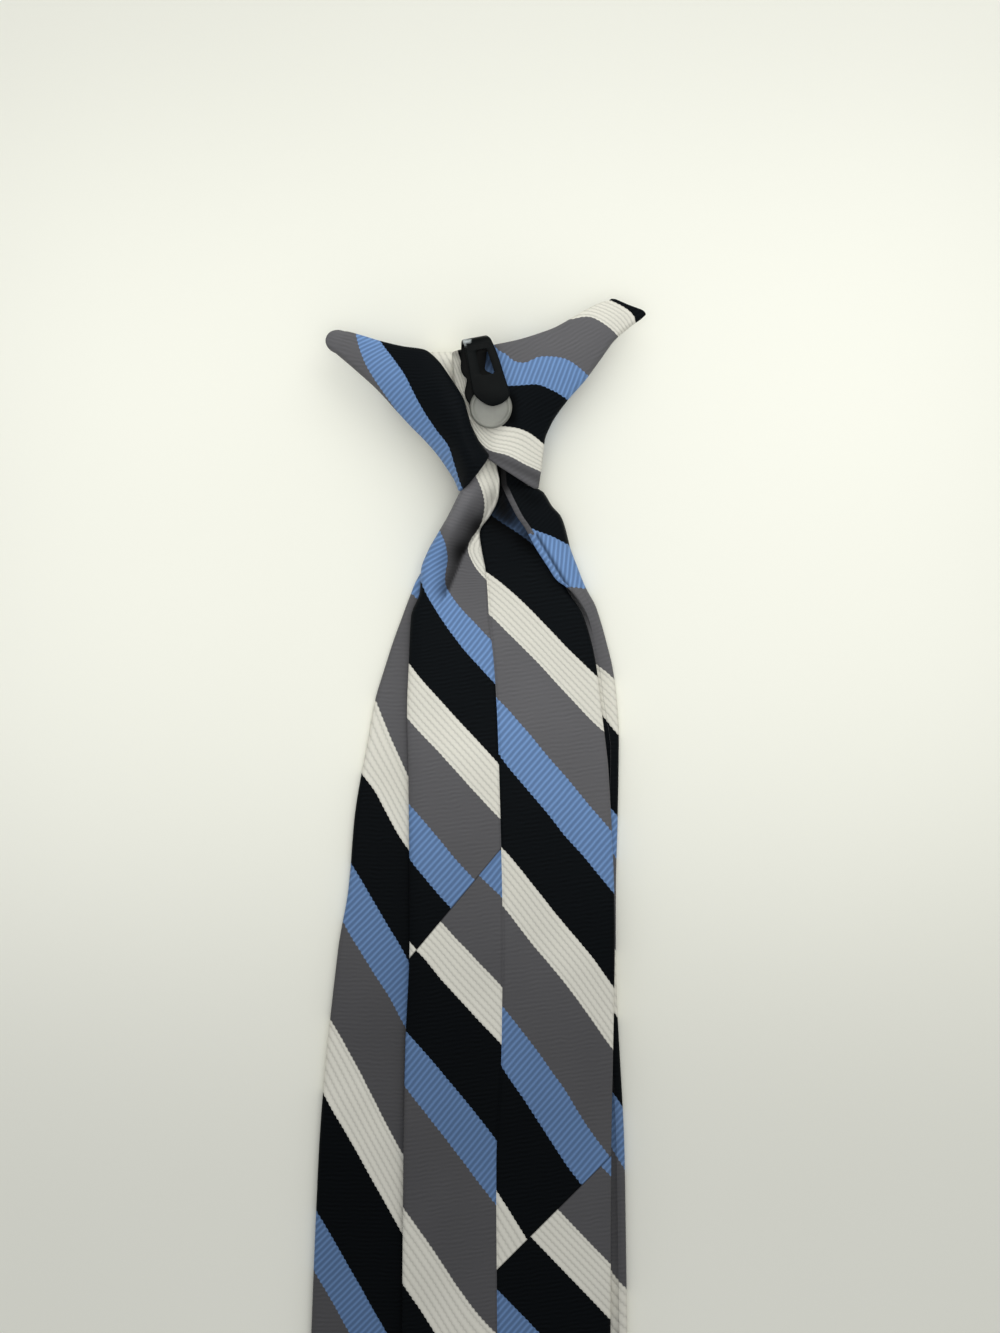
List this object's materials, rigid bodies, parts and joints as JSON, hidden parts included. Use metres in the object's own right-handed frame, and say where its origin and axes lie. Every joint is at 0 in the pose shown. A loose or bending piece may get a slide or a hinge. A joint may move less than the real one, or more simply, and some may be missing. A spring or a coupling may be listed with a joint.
{
  "type": "clip-on necktie",
  "caption": "Ready-tied striped necktie lying face down, with short collar wings, a narrow tail over the front blade and a plastic clip that grips a shirt collar.",
  "frame": {"origin": "middle of the footprint, on the table that the tie lies on", "axes": "+X to the right as seen from the back of the tie, +Y up the tie towards the knot, +Z away from the table, towards the wearer's shirt"},
  "size_m": [0.0942, 0.4566, 0.0233],
  "materials": {
    "tie_cloth": "woven stripes of black, white, mid blue and grey, ribbed, with a slight satin sheen",
    "clip_plastic": "black moulded plastic, satin to gloss",
    "pad_plastic": "milky translucent soft plastic"
  },
  "bodies": {
    "root": {"knot": "tie_cloth", "right_wing": "tie_cloth", "left_wing": "tie_cloth", "front_blade": "tie_cloth", "tail": "tie_cloth", "clip": "clip_plastic", "clip_pad": "pad_plastic"}
  },
  "joints": []
}
